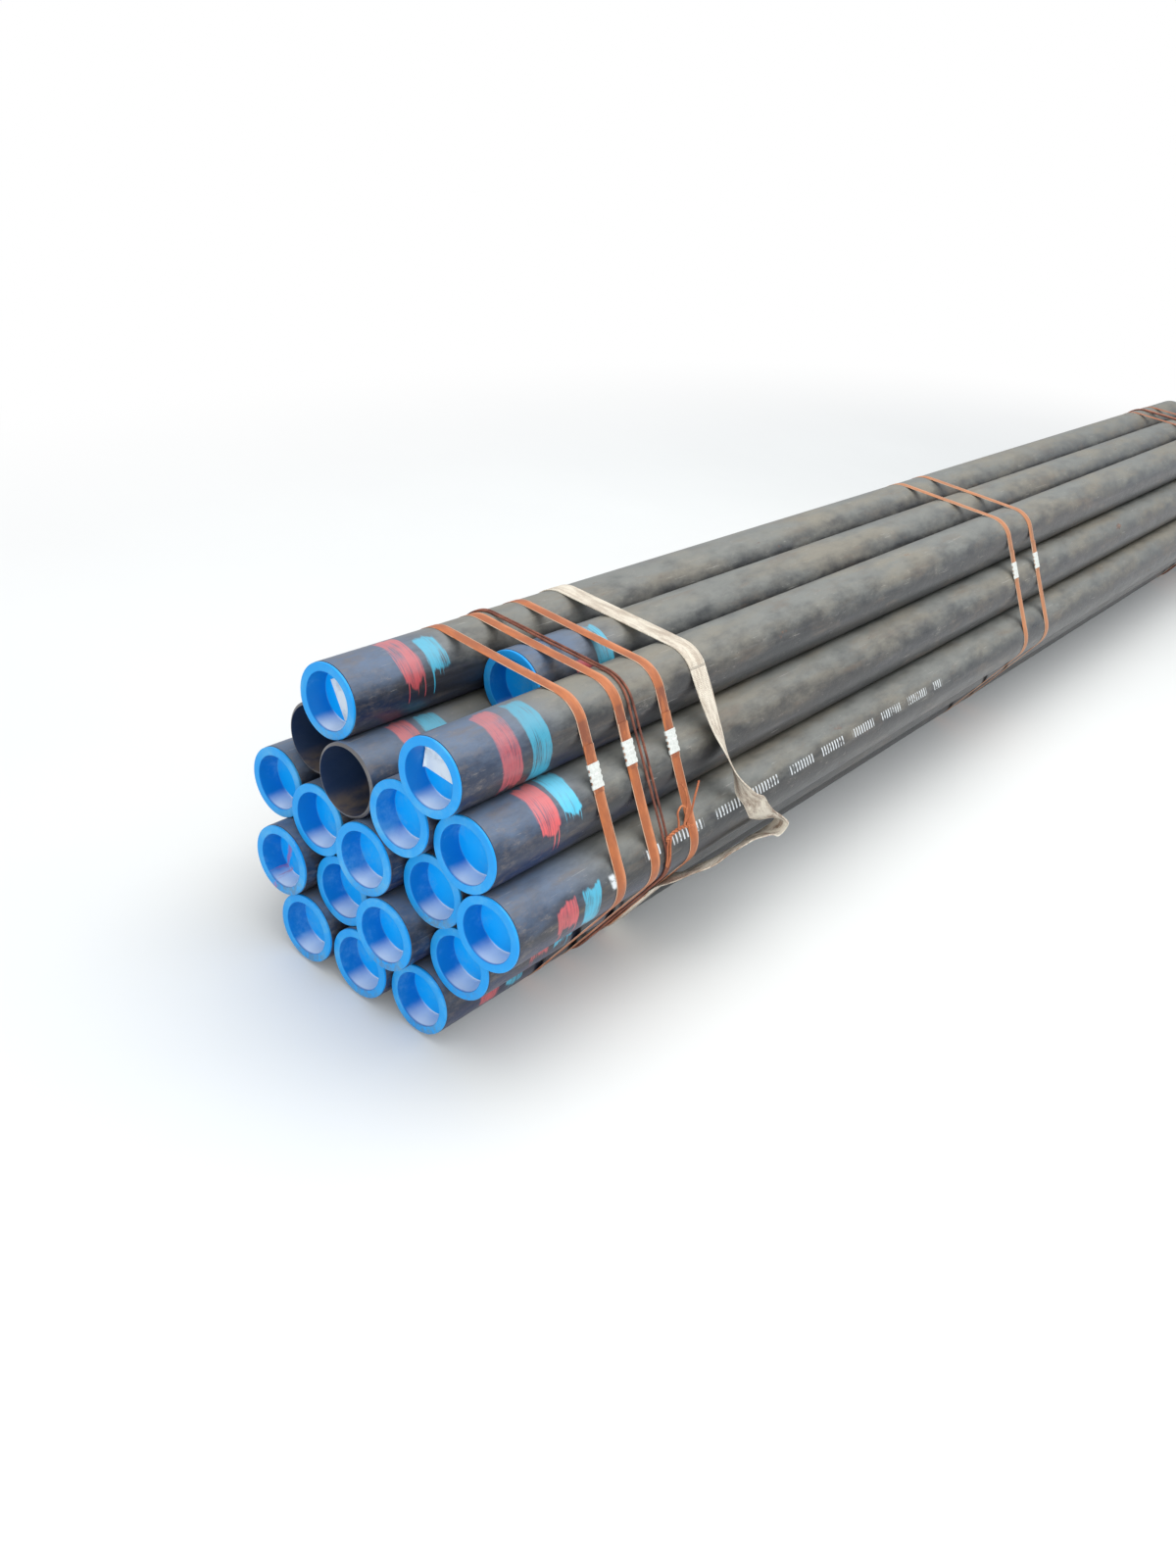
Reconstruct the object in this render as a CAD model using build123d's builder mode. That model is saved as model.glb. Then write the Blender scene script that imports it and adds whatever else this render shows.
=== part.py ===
from build123d import *
from math import cos, radians, sin, sqrt, tan
import os

# Bundle of line pipes, millimetres.
# X runs along the pipes with the near ends at -X, Y runs across the bundle with the
# near side at -Y, and Z is up from the floor under the tie wires.

# Pipes: nominal 6 inch line pipe, schedule 40
pipe_od = 168.3
pipe_wall = 7.11
pipe_length = 5800.0
pipe_gap = 0.3
bevel_angle = 37.5
root_face = 1.6

# Rows from the floor up, each listed from the near side to the far side.
# A pipe is (how far its ends sit back from the nominal end, whether it is capped).
stack = {
    "row_1": ((30.0, True), (10.0, True), (0.0, True)),
    "row_2": ((47.0, True), (-12.0, True), (22.0, True), (-11.0, True)),
    "row_3": ((19.0, True), (32.0, True), (-7.0, True), (13.0, True), (40.0, True)),
    "row_4": ((17.0, True), (0.0, True), (0.0, False), (60.0, False)),
    "row_5": ((-16.0, True), (400.0, True), (20.0, True)),
}

# End caps: flanged plugs with a deep round recess
cap_flange_inset = 0.5
cap_flange_thickness = 7.0
cap_recess_radius = 64.0
cap_recess_depth = 52.0
cap_floor_thickness = 3.0
cap_bore_clearance = 0.3
cap_seat_clearance = 0.3

# Steel straps, each drawn round the bundle and closed by a crimped seal.
# A strap is (distance from the end of the bundle, height of its seal on the near flat).
strap_width = 32.0
strap_thickness = 1.0
strap_clearance = 0.3
end_straps = ((340.0, 52.0), (462.0, 66.0), (612.0, 46.0))
middle_straps = ((2610.0, 52.0), (2800.0, 52.0))

# Seals, and the spare end of strap that runs through them
seal_length = 54.0
seal_width = 38.0
seal_sheet = 0.8
seal_clearance = 0.25
notch_count = 2
notch_length = 7.0
notch_depth = 2.2
strap_end_below_seal = 10.0
strap_end_above_seal = 40.0

# Tie wires: two turns of soft iron wire near each end, their ends twisted together
wire_diameter = 5.5
wire_flats = 6
wire_clearance = 0.3
wire_turn_spacing = 9.0
wire_station = 530.0
twist_diameter = 9.0
twist_bedding = 1.0
twist_bend_radius = 10.0
# Route of the twist on the near flat: along the pipes, then up the flat
twist_route = ((-12.0, -135.0), (42.0, -135.0), (58.0, -98.0), (30.0, -84.0), (20.0, -112.0))

# Webbing sling, slack on the near side
sling_width = 60.0
sling_thickness = 3.0
sling_clearance = 0.4
sling_station = 770.0
sling_fold_radius = 30.0
sling_fold_drop = 85.0

# Derived values
rows_above_middle = len(stack) // 2
pipe_radius = pipe_od / 2
bore_radius = pipe_radius - pipe_wall
pitch = pipe_od + pipe_gap
row_rise = pitch * sqrt(3) / 2
bevel_radial = pipe_wall - root_face
bevel_axial = bevel_radial * tan(radians(bevel_angle))
corner_reach = rows_above_middle * pitch
wire_reach = pipe_radius + wire_clearance
axis_height = rows_above_middle * row_rise + wire_reach + wire_diameter
setbacks = [setback for row in stack.values() for setback, capped in row]
near_plane = -(pipe_length + max(setbacks) + min(setbacks)) / 2
far_plane = near_plane + pipe_length
strap_reach = pipe_radius + strap_clearance
sling_reach = pipe_radius + sling_clearance

os.makedirs("parts", exist_ok=True)


def keep(built, name):
    """Label a finished piece and write it to its own file."""
    built.part.label = name
    export_step(built.part, f"parts/{name}.step")


def pipe_places():
    """Give every pipe's name, axis height, distance across, setback and cap."""
    for row_number, (row, pipes) in enumerate(stack.items()):
        height = axis_height + (row_number - rows_above_middle) * row_rise
        for place, (setback, capped) in enumerate(pipes):
            across = (place - (len(pipes) - 1) / 2) * pitch
            yield f"pipe_{row}_{place + 1}", across, height, setback, capped


def seamless_pipe(name, across, height, setback, capped):
    """A plain tube, with weld bevels where its ends are bare."""
    start = Plane(origin=(near_plane + setback, across, height), z_dir=(1, 0, 0))
    with BuildPart() as pipe:
        with BuildSketch(start):
            Circle(pipe_radius)
            Circle(bore_radius, mode=Mode.SUBTRACT)
        extrude(amount=pipe_length)
        if not capped:
            outside = pipe.faces().filter_by(GeomType.CYLINDER).sort_by(SortBy.RADIUS)[-1]
            rims = outside.edges().filter_by(GeomType.CIRCLE)
            chamfer(rims, length=bevel_axial, length2=bevel_radial, reference=outside)
    keep(pipe, name)


def end_caps():
    """The caps at both ends, all alike, as separate solids of one node."""
    flange_radius = pipe_radius - cap_flange_inset
    plug_radius = bore_radius - cap_bore_clearance
    front = -cap_flange_thickness - cap_seat_clearance
    seat = -cap_seat_clearance
    floor = front + cap_recess_depth
    back = floor + cap_floor_thickness
    half_section = (
        (0, floor),
        (cap_recess_radius, floor),
        (cap_recess_radius, front),
        (flange_radius, front),
        (flange_radius, seat),
        (plug_radius, seat),
        (plug_radius, back),
        (0, back),
    )
    with BuildPart() as caps:
        for name, across, height, setback, capped in pipe_places():
            if not capped:
                continue
            for end, inward in ((near_plane + setback, 1), (far_plane + setback, -1)):
                centre = (end, across, height)
                # Local X is the radius and local Y points into the pipe
                with BuildSketch(Plane(centre, x_dir=(0, 1, 0), z_dir=(0, 0, -inward))):
                    with BuildLine():
                        Polyline(*half_section, close=True)
                    make_face()
                revolve(axis=Axis(centre, (1, 0, 0)))
    keep(caps, "end_caps")


def wrapped_outline(reach, thickness):
    """Ring that wraps the six corner pipes, reach from their centres to its inner face."""
    RegularPolygon(radius=corner_reach, side_count=6)
    offset(amount=reach + thickness)
    offset(amount=-thickness, mode=Mode.SUBTRACT)


def near_flat(x, stand_off):
    """Plane on the upper near flat of the wrapping: X along the pipes, Y up the flat.

    Its origin is level with the middle pipe of that side, stand_off above the pipes' line.
    """
    middle_pipe_across = -(corner_reach + pitch) / 2
    middle_pipe_height = axis_height + row_rise
    out_y, out_z = -cos(radians(30)), sin(radians(30))
    reach = pipe_radius + stand_off
    return Plane(
        origin=(x, middle_pipe_across + out_y * reach, middle_pipe_height + out_z * reach),
        x_dir=(1, 0, 0),
        z_dir=(0, out_y, out_z),
    )


def cross_plane(x):
    """Plane across the bundle at x, on its axis: local X is Y and local Y is Z."""
    return Plane((x, 0, axis_height), x_dir=(0, 1, 0), z_dir=(1, 0, 0))


def hexagon_corners(distance):
    """Corners of a hexagon round the bundle's axis, one at each side of the widest row."""
    turns = [radians(60 * corner) for corner in range(6)]
    return [(distance * cos(turn), distance * sin(turn)) for turn in turns]


def steel_strap(name, x, seal_height):
    """A closed band, with its spare end lying on top of it through the seal."""
    end_length = strap_end_below_seal + seal_length + strap_end_above_seal
    end_middle = seal_height + (strap_end_above_seal - strap_end_below_seal) / 2
    with BuildPart() as strap:
        with BuildSketch(cross_plane(x - strap_width / 2)):
            wrapped_outline(strap_reach, strap_thickness)
        extrude(amount=strap_width)
        with BuildSketch(near_flat(x, strap_clearance + strap_thickness)):
            with Locations((0, end_middle)):
                Rectangle(strap_width, end_length)
        extrude(amount=strap_thickness)
    keep(strap, name)


def crimped_seal(name, x, seal_height):
    """A flat sleeve round the two layers of strap, notched along both edges."""
    hole_height = 2 * (strap_thickness + seal_clearance)
    hole_floor = strap_clearance - seal_clearance
    notch_step = seal_length / (notch_count + 1)
    with BuildPart() as seal:
        with BuildSketch(near_flat(x, hole_floor - seal_sheet)):
            with Locations((0, seal_height)):
                Rectangle(seal_width, seal_length)
                for side in (-1, 1):
                    with GridLocations(0, notch_step, 1, notch_count):
                        with Locations((side * seal_width / 2, 0)):
                            Rectangle(2 * notch_depth, notch_length, mode=Mode.SUBTRACT)
        extrude(amount=hole_height + 2 * seal_sheet)
        with BuildSketch(near_flat(x, hole_floor)):
            with Locations((0, seal_height)):
                Rectangle(strap_width + 2 * seal_clearance, seal_length)
        extrude(amount=hole_height, mode=Mode.SUBTRACT)
    keep(seal, name)


def tie_wire(name, x, toward_middle):
    """Two turns of wire round the bundle, and their twisted ends lying on them."""
    reach = wire_reach + wire_diameter / 2
    corners = hexagon_corners(corner_reach + reach / cos(radians(30)))
    twist_stand_off = wire_clearance + wire_diameter - twist_bedding + twist_diameter / 2
    with BuildPart() as wire:
        for turn in (-1, 1):
            with BuildLine(cross_plane(x + turn * wire_turn_spacing / 2)) as loop:
                FilletPolyline(*corners, radius=reach, close=True)
            path = loop.wires()[0]
            with BuildSketch(Plane(path @ 0, z_dir=path % 0)):
                RegularPolygon(wire_diameter / 2, wire_flats)
            sweep(path=path)
        route = [(toward_middle * along, up) for along, up in twist_route]
        with BuildLine(near_flat(x, twist_stand_off)) as twist:
            FilletPolyline(*route, radius=twist_bend_radius)
        path = twist.wires()[0]
        with BuildSketch(Plane(path @ 0, z_dir=path % 0)):
            RegularPolygon(twist_diameter / 2, wire_flats)
        sweep(path=path)
    keep(wire, name)


def webbing_sling(name, x):
    """A loop of flat webbing round the bundle, its slack hanging in a fold at the near side."""
    fold_centre = (-corner_reach - sling_reach + sling_fold_radius, -sling_fold_drop)
    with BuildPart() as sling:
        with BuildSketch(cross_plane(x - sling_width / 2)):
            with Locations(*hexagon_corners(corner_reach)):
                Circle(sling_reach + sling_thickness)
            with Locations(fold_centre):
                Circle(sling_fold_radius + sling_thickness)
            make_hull()
            offset(amount=-sling_thickness, mode=Mode.SUBTRACT)
        extrude(amount=sling_width)
    keep(sling, name)


def strap_and_seal(place, x, seal_height):
    """One strap and the seal that closes it."""
    steel_strap(f"strap_{place}", x, seal_height)
    crimped_seal(f"seal_{place}", x, seal_height)


for place in pipe_places():
    seamless_pipe(*place)
end_caps()
for number, (station, seal_height) in enumerate(end_straps, 1):
    strap_and_seal(f"near_{number}", near_plane + station, seal_height)
    strap_and_seal(f"far_{number}", far_plane - station, seal_height)
for number, (station, seal_height) in enumerate(middle_straps, 1):
    strap_and_seal(f"middle_{number}", near_plane + station, seal_height)
tie_wire("tie_wire_near", near_plane + wire_station, 1)
tie_wire("tie_wire_far", far_plane - wire_station, -1)
webbing_sling("sling", near_plane + sling_station)
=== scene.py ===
import random
from math import cos, pi, radians, sin, sqrt, tan, tau

import bmesh
import bpy
from mathutils import Matrix, Vector


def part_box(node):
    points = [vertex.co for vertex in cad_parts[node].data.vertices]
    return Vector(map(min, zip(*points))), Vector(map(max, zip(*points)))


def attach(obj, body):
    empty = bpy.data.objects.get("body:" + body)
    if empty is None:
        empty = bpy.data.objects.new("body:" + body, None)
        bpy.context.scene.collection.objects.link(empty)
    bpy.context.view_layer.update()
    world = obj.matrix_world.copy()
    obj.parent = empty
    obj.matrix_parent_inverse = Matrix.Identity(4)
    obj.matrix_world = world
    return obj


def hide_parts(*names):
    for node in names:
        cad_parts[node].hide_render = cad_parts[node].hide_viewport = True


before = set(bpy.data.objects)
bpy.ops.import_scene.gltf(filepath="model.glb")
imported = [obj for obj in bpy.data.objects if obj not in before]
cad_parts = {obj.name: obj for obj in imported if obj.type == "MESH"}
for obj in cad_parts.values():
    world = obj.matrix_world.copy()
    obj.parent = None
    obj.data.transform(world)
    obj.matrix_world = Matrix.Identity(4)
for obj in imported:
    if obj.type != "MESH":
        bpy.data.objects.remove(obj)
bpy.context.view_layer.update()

# A strapped bundle of varnished line pipes with blue end caps, in metres.
# X runs along the pipes with the near ends at -X, and the near side is at -Y.

mm = 0.001

# Pipes and caps, as in the frame
ROWS = (3, 4, 5, 4, 3)
OPEN_PIPES = ("row_4_3", "row_4_4")
WALL = 7.11 * mm
ROOT_FACE = 1.6 * mm
BEVEL_ANGLE = radians(37.5)
FLANGE_INSET = 0.5 * mm
FLANGE_THICKNESS = 7.0 * mm
RECESS_RADIUS = 64.0 * mm
RECESS_DEPTH = 52.0 * mm
CAP_FLOOR = 3.0 * mm
CAP_CLEARANCE = 0.3 * mm

# Bands, seals, wire and webbing, as in the frame
STRAP_THICKNESS = 1.0 * mm
STRAP_CLEARANCE = 0.3 * mm
SEAL_CLEARANCE = 0.25 * mm
SEAL_SHEET = 0.8 * mm
SEAL_LENGTH = 54.0 * mm
SPARE_BELOW = 10.0 * mm
SPARE_ABOVE = 40.0 * mm
WIRE_DIAMETER = 5.5 * mm
WIRE_CLEARANCE = 0.3 * mm
WIRE_TURN_SPACING = 9.0 * mm
WIRE_STATION = 510.0 * mm
SLING_WIDTH = 60.0 * mm
SLING_THICKNESS = 3.0 * mm
SLING_CLEARANCE = 0.4 * mm

# Rounding of the visible edges
PIPE_EDGE = 0.5 * mm
CAP_EDGE = 2.4 * mm
STRAP_EDGE = 0.35 * mm
SEAL_EDGE = 1.0 * mm
SLING_EDGE = 0.9 * mm

# Steps of a run round each corner pipe and along each flat
STRAP_STEPS = (14, 30)
WIRE_STEPS = (12, 20)
SLING_STEPS = (12, 16)

# Paint bands: usual distance from the near end to the middle of each, and their width
RED_BAND = 0.145
CYAN_BAND = 0.226
BAND_WIDTH = 0.056


def pipe_names():
    """Every pipe's row and place, as its node is named."""
    for row, count in enumerate(ROWS, 1):
        for place in range(1, count + 1):
            yield f"row_{row}_{place}"


def pipe_line(name):
    """Near end of a pipe's axis, and its length."""
    low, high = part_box(f"pipe_{name}")
    return Vector((low[0], (low[1] + high[1]) / 2, (low[2] + high[2]) / 2)), high[0] - low[0]


PIPE_LINES = {name: pipe_line(name) for name in pipe_names()}
low_corner, high_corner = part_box("pipe_row_3_1")
PIPE_RADIUS = (high_corner[2] - low_corner[2]) / 2
BORE_RADIUS = PIPE_RADIUS - WALL
AXIS = PIPE_LINES["row_3_3"][0]
PITCH = PIPE_LINES["row_3_2"][0].y - PIPE_LINES["row_3_1"][0].y
CORNER_REACH = 2 * PITCH
NEAR_PLANE = PIPE_LINES["row_1_3"][0].x


def linear(level):
    """Share of full light at a level between 0 and 255."""
    share = level / 255
    return share / 12.92 if share <= 0.04045 else ((share + 0.055) / 1.055) ** 2.4


class Finish:
    """A material's nodes, with a method for each kind that the finishes use."""

    def __init__(self, name):
        self.material = bpy.data.materials.new(name)
        self.material.use_nodes = True
        self.tree = self.material.node_tree
        self.shader = self.tree.nodes["Principled BSDF"]

    def put(self, socket, value):
        """Link or set a socket. A colour is written as it shows on a screen, 0 to 255."""
        if isinstance(value, bpy.types.NodeSocket):
            self.tree.links.new(value, socket)
        elif socket.type == "RGBA":
            socket.default_value = (*(linear(level) for level in value), 1.0)
        else:
            socket.default_value = value

    def node(self, kind, inputs=(), **settings):
        made = self.tree.nodes.new(kind)
        for key, value in settings.items():
            setattr(made, key, value)
        for key, value in dict(inputs).items():
            self.put(made.inputs[key], value)
        return made

    def place(self):
        """The piece's own coordinates."""
        return self.node("ShaderNodeTexCoord").outputs["Object"]

    def split(self, vector):
        return self.node("ShaderNodeSeparateXYZ", {0: vector}).outputs[:3]

    def join(self, x, y, z):
        return self.node("ShaderNodeCombineXYZ", {0: x, 1: y, 2: z}).outputs[0]

    def facing(self):
        """Components of the surface's normal, in the scene's frame."""
        return self.split(self.node("ShaderNodeNewGeometry").outputs["Normal"])

    def stored(self, name, kind="Fac"):
        """A value that the mesh carries."""
        return self.node("ShaderNodeAttribute", attribute_name=name).outputs[kind]

    def sum(self, first, second, share=None):
        """First plus second, or plus share of second."""
        return self.math("ADD", first, self.shared(second, share))

    def less(self, first, second):
        return self.math("SUBTRACT", first, second)

    def times(self, first, second):
        return self.math("MULTIPLY", first, second)

    def shared(self, value, share):
        return value if share is None else self.times(value, share)

    def math(self, operation, first, second=0.0):
        return self.node("ShaderNodeMath", {0: first, 1: second}, operation=operation).outputs[0]

    def length(self, vector):
        return self.node("ShaderNodeVectorMath", {0: vector}, operation="LENGTH").outputs["Value"]

    def scaled(self, vector, factors):
        made = self.node("ShaderNodeVectorMath", {0: vector, 1: factors}, operation="MULTIPLY")
        return made.outputs[0]

    def moved(self, vector, step):
        return self.node("ShaderNodeVectorMath", {0: vector, 1: step}, operation="ADD").outputs[0]

    def grain(self, where, scale, stretch=None, detail=4.0, roughness=0.55):
        """Fractal noise, about 0.5 on average, with its grains finer by stretch in each direction."""
        if stretch:
            where = self.scaled(where, stretch)
        inputs = {"Vector": where, "Scale": scale, "Detail": detail, "Roughness": roughness}
        return self.node("ShaderNodeTexNoise", inputs).outputs["Fac"]

    def rise(self, value, low, high):
        """0 below low and 1 above high, smooth between, or the reverse where low is larger."""
        inputs = {"Value": value, "From Min": low, "From Max": high}
        made = self.node("ShaderNodeMapRange", inputs, interpolation_type="SMOOTHSTEP")
        return made.outputs["Result"]

    def both(self, first, second):
        """Product of the rises of two (value, low, high)."""
        return self.times(self.rise(*first), self.rise(*second))

    def between(self, value, low, high, soft):
        """1 from low to high, with soft edges."""
        return self.both(
            (value, self.less(low, soft), self.sum(low, soft)),
            (value, self.sum(high, soft), self.less(high, soft)),
        )

    def mix(self, amount, below, above, share=None):
        """Colour above laid over colour below by amount, or by share of amount."""
        made = self.node("ShaderNodeMix", data_type="RGBA")
        self.put(made.inputs["Factor"], self.shared(amount, share))
        self.put(made.inputs[6], below)
        self.put(made.inputs[7], above)
        return made.outputs[2]

    def set(self, **sockets):
        for key, value in sockets.items():
            self.put(self.shader.inputs[key.replace("_", " ")], value)
        return self

    def bump(self, height, distance, strength=1.0):
        inputs = {"Height": height, "Distance": distance, "Strength": strength}
        normal = self.node("ShaderNodeBump", inputs).outputs["Normal"]
        self.tree.links.new(normal, self.shader.inputs["Normal"])
        return self


def brushed_band(finish, along, angle, span, spot):
    """Mask of one brushed paint band: span is its lowest and highest angle and its middle."""
    ragged = finish.grain(spot, 1.0, (30.0, 9.0, 9.0), detail=5.0)
    wander = finish.times(finish.less(ragged, 0.5), 0.03)
    low, high, middle = finish.split(span)
    from_middle = finish.less(finish.sum(along, wander), middle)
    across = finish.between(from_middle, -BAND_WIDTH / 2, BAND_WIDTH / 2, 0.0022)
    # Drips reach below the patch where the noise along the pipe is high
    drip_noise = finish.grain(spot, 1.0, (150.0, 0.0, 0.0), detail=1.0)
    drip = finish.times(finish.rise(drip_noise, 0.56, 0.64), 0.5)
    start = finish.less(low, drip)
    slip = finish.times(finish.less(ragged, 0.5), 0.9)
    around = finish.between(finish.sum(angle, slip), start, high, 0.05)
    bristles = finish.grain(spot, 1.0, (460.0, 14.0, 14.0), detail=3.0)
    thin = finish.grain(spot, 1.0, (20.0, 12.0, 12.0), detail=4.0)
    cover = finish.rise(finish.sum(bristles, thin, 0.9), 0.62, 0.98)
    return finish.times(finish.times(across, around), cover)


# Band paints: dull and vivid tone, tone and share of the dust and painted sheen on them, and how well they
# cover
PAINTS = {
    "red": ((182, 82, 90), (232, 96, 98), (192, 152, 150), 0.35, 0.84),
    "cyan": ((58, 156, 184), (84, 204, 238), (150, 178, 186), 0.2, 0.86),
}


def varnished_pipe():
    """Black varnished steel with dust and painted sheen on its upper side, a painted blue reflection near
    the end, scuffs, rust and brushed paint bands.
    """
    finish = Finish("varnished_pipe")
    own = finish.place()
    along, across, height = finish.split(own)
    radius = finish.length(finish.join(0.0, across, height))
    angle = finish.math("ARCTAN2", height, finish.times(across, -1.0))
    seed = finish.stored("seed")
    spot = finish.moved(own, finish.join(finish.times(seed, 3.7), seed, finish.times(seed, 1.9)))
    up = finish.facing()[2]

    # Varnish: near-black, with painted blue reflected light near the end that is strongest on the lower
    # side; browner in broad patches, with long thin streaks
    broad = finish.grain(spot, 1.6, (1.1, 5.0, 5.0), detail=6.0, roughness=0.6)
    streaks = finish.grain(spot, 2.0, (1.2, 30.0, 30.0), detail=7.0, roughness=0.65)
    cloud = finish.grain(spot, 2.2, (4.0, 9.0, 9.0), detail=8.0, roughness=0.68)
    farther = finish.rise(along, 0.1, 0.36)
    painted_reflection_low_near = finish.both((up, 0.3, -0.4), (along, 0.8, 0.1))
    # Painted reflected light: the coat is bluer near the end, and bluer still on the lower side there
    varnish_and_reflection = finish.mix(farther, (33, 45, 67), (40, 42, 45))
    varnish_and_reflection = finish.mix(painted_reflection_low_near, varnish_and_reflection, (20, 42, 84))
    colour = finish.mix(finish.rise(broad, 0.38, 0.66), varnish_and_reflection, (52, 50, 50))
    colour = finish.mix(finish.rise(streaks, 0.52, 0.74), colour, (84, 84, 90), 0.4)
    # Dust lies on the upper side, thicker in patches; the lighter upper side is also a painted sheen of the
    # sky
    patchy = finish.sum(up, finish.less(cloud, 0.5), 1.5)
    dust_and_sheen = finish.rise(patchy, 0.2, 1.15)
    dust_and_sheen_tone = finish.mix(finish.rise(broad, 0.42, 0.62), (142, 143, 137), (152, 146, 131))
    # Near the end the upper side takes a bluish tone: a painted sky sheen
    dust_and_sheen_tone = finish.mix(farther, (108, 127, 153), dust_and_sheen_tone)
    colour = finish.mix(dust_and_sheen, colour, dust_and_sheen_tone, 0.68)
    # Brown smudges, mostly lengthwise
    smudge_noise = finish.grain(spot, 1.5, (3.4, 12.0, 12.0), detail=9.0, roughness=0.7)
    smudge = finish.both((smudge_noise, 0.5, 0.68), (streaks, 0.36, 0.56))
    colour = finish.mix(smudge, colour, (112, 96, 80), 0.42)
    # Scuffs, and thin scratches along the pipe
    scuff_noise = finish.grain(spot, 2.6, (14.0, 30.0, 30.0), detail=10.0, roughness=0.72)
    scuffs = finish.both((scuff_noise, 0.57, 0.68), (cloud, 0.45, 0.6))
    colour = finish.mix(scuffs, colour, (150, 142, 134), 0.4)
    hairs = finish.grain(spot, 2.0, (5.0, 150.0, 150.0), detail=3.0)
    scratches = finish.both((hairs, 0.66, 0.7), (cloud, 0.48, 0.56))
    colour = finish.mix(scratches, colour, (168, 164, 158), 0.5)
    # Rust where the varnish has worn through
    rust_noise = finish.grain(spot, 2.4, (2.6, 8.0, 8.0), detail=9.0, roughness=0.74)
    rust = finish.both((rust_noise, 0.64, 0.71), (along, 0.2, 0.9))
    rust_tone = finish.mix(finish.rise(scuff_noise, 0.4, 0.65), (92, 64, 52), (162, 112, 82))
    colour = finish.mix(rust, colour, rust_tone, 0.6)
    # The ends are handled most, so they are scuffed brown
    end_wear = finish.both((along, 0.22, 0.0), (scuff_noise, 0.46, 0.62))
    colour = finish.mix(end_wear, colour, (118, 108, 102), 0.3)
    # Paint, dulled by the same dust and painted sheen
    bands = []
    for name, (dull, vivid, dusty, dust, cover) in PAINTS.items():
        bands.append(brushed_band(finish, along, angle, finish.stored(name, "Vector"), spot))
        tone = finish.mix(finish.stored("vivid"), dull, vivid)
        tone = finish.mix(dust_and_sheen, tone, dusty, dust)
        colour = finish.mix(bands[-1], colour, tone, cover)
    marks = finish.times(stroke_marks(finish, along, angle), finish.rise(scuff_noise, 0.66, 0.48))
    colour = finish.mix(marks, colour, (216, 220, 222))
    # Bare steel on the ends, and dust low in the bore
    inside = finish.rise(radius, BORE_RADIUS + 0.6 * mm, BORE_RADIUS + 0.2 * mm)
    end_face = finish.both(
        (radius, BORE_RADIUS + 0.2 * mm, BORE_RADIUS + 0.7 * mm),
        (radius, PIPE_RADIUS - 0.3 * mm, PIPE_RADIUS - 0.8 * mm),
    )
    colour = finish.mix(end_face, colour, finish.mix(cloud, (70, 72, 78), (116, 110, 106)))
    low_side = finish.rise(finish.math("DIVIDE", height, radius), -0.7, -1.0)
    bore = finish.mix(cloud, (24, 46, 82), (50, 64, 88))
    silt = finish.mix(cloud, (74, 78, 86), (128, 108, 90))
    bore = finish.mix(finish.times(low_side, finish.rise(cloud, 0.3, 0.6)), bore, silt)
    colour = finish.mix(inside, colour, bore)

    rough = finish.sum(0.33, dust_and_sheen, 0.2)
    rough = finish.sum(rough, rust, 0.3)
    rough = finish.sum(rough, finish.less(cloud, 0.5), 0.3)
    finish.set(Base_Color=colour, Roughness=rough)
    ripple = finish.grain(spot, 3.0, (8.0, 18.0, 18.0), detail=8.0, roughness=0.6)
    relief = finish.sum(ripple, finish.sum(rust, scuffs), 0.15)
    relief = finish.sum(relief, finish.sum(*bands), 0.06)
    return finish.bump(relief, 0.002, 0.6).material


# The row of strokes: step of the strokes and of their groups, and its reach along the pipe
STROKE_STEP = 0.0135
GROUP_STEP = 0.168
MARKS_REACH = (0.415, 1.92)
# Reach of a lone daub of the same paint, beside the first strap
DAUB_REACH = (0.286, 0.304)


def stroke_marks(finish, along, angle):
    """A row of plain short strokes along one pipe, in groups, where the mesh asks for them."""
    line_angle = finish.stored("marks")
    level = finish.less(angle, line_angle)
    wave = finish.math("FRACT", finish.times(along, 1 / STROKE_STEP))
    stroke = finish.between(wave, 0.25, 0.62, 0.06)
    group = finish.math("FRACT", finish.times(along, 1 / GROUP_STEP))
    grouped = finish.between(group, 0.08, 0.8, 0.01)
    tall = finish.between(level, -0.14, 0.14, 0.012)
    reach = finish.between(along, *MARKS_REACH, 0.004)
    here = finish.rise(line_angle, 0.01, 0.02)
    mask = finish.times(finish.times(stroke, grouped), finish.times(tall, reach))
    daub = finish.times(
        finish.between(finish.sum(along, level, 0.02), *DAUB_REACH, 0.004),
        finish.between(level, -0.36, 0.04, 0.05),
    )
    return finish.times(finish.sum(mask, daub), here)


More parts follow.
